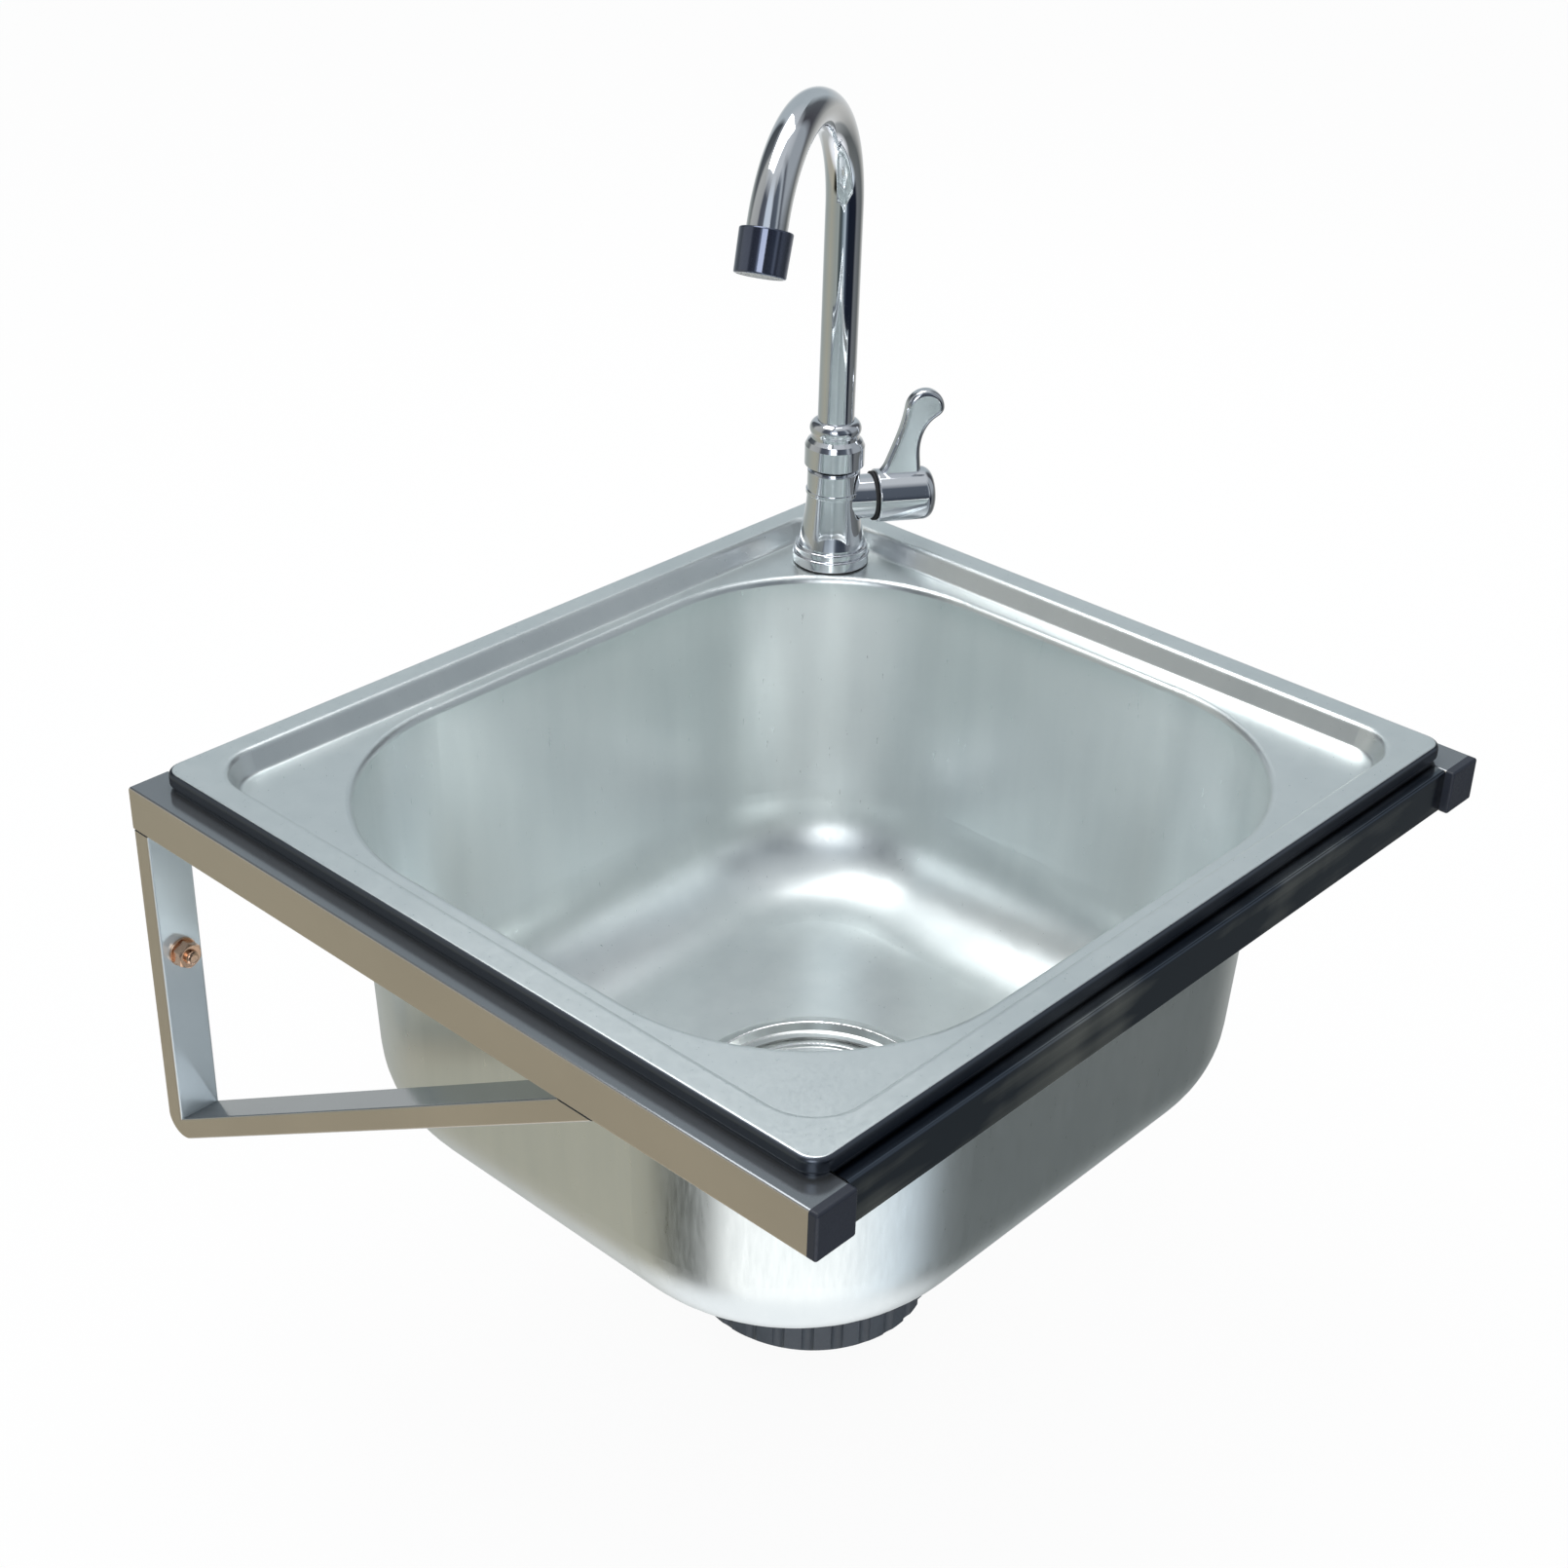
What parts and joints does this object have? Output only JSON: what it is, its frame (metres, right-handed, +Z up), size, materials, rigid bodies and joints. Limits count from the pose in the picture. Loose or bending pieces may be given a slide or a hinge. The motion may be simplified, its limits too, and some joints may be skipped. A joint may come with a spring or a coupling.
{
  "type": "wall-mounted commercial sink",
  "caption": "Wall-hung pressed sink on a braced square-tube frame, with a swivelling swan-neck tap, a side lever valve and a basket drain under a ribbed waste cup.",
  "frame": {"origin": "midway between the two wall bolts, on the wall plane", "axes": "+X to the right along the wall, +Y into the wall, +Z up"},
  "size_m": [0.526, 0.473, 0.6653],
  "materials": {
    "satin_steel": "satin",
    "bright_steel": "bright",
    "black_plastic": "matte",
    "zinc": "yellow zinc",
    "tap_chrome": "polished",
    "dark_cap": "gloss",
    "pale_plastic": "matte",
    "brass": "plain",
    "rubber": "matte",
    "grey_plastic": "matte"
  },
  "bodies": {
    "root": {"sink_bowl": "satin_steel", "left_arm": "bright_steel", "right_arm": "bright_steel", "front_bar": "bright_steel", "left_plug": "black_plastic", "right_plug": "black_plastic", "left_post": "bright_steel", "right_post": "bright_steel", "left_brace": "bright_steel", "right_brace": "bright_steel", "anchor_nuts": "zinc", "anchor_washers": "zinc", "anchor_stud_ends": "zinc", "base_gasket": "black_plastic", "tap_body": "tap_chrome", "spout_nut": "tap_chrome", "valve_bonnet": "tap_chrome", "handle_seal": "black_plastic", "valve_cartridge": "brass", "shank_washer": "rubber", "shank_nut": "brass", "drain_flange": "bright_steel", "flange_gasket": "rubber", "cup_gasket": "rubber", "waste_cup": "grey_plastic", "union_nut": "grey_plastic", "outlet_washer": "rubber", "outlet_tail": "grey_plastic"},
    "spout": {"spout_tube": "tap_chrome", "spout_retainer": "brass", "spout_o_ring": "rubber", "outlet_cap": "dark_cap", "aerator": "pale_plastic"},
    "handle": {"handle": "tap_chrome", "handle_cap": "tap_chrome", "handle_screw": "brass", "valve_spindle": "brass"},
    "basket": {"basket": "bright_steel"},
    "lid": {"basket_lid": "bright_steel", "lid_trim": "bright_steel"}
  },
  "joints": [
    {"name": "spout_swivel", "type": "hinge", "parent": "root", "child": "spout", "pos_m": [0.2025, -0.062, 0.17], "axis": [0, 0, 1], "range_deg": [-45, 175]},
    {"name": "handle_turn", "type": "hinge", "parent": "root", "child": "handle", "pos_m": [0.2025, -0.062, 0.1386], "axis": [0.829, -0.5592, 0], "range_deg": [0, 90]},
    {"name": "basket_lift", "type": "slide", "parent": "root", "child": "basket", "axis": [0, 0, 1], "range_m": [0, 0.12]},
    {"name": "lid_lift", "type": "slide", "parent": "basket", "child": "lid", "axis": [0, 0, 1], "range_m": [0, 0.06]}
  ]
}
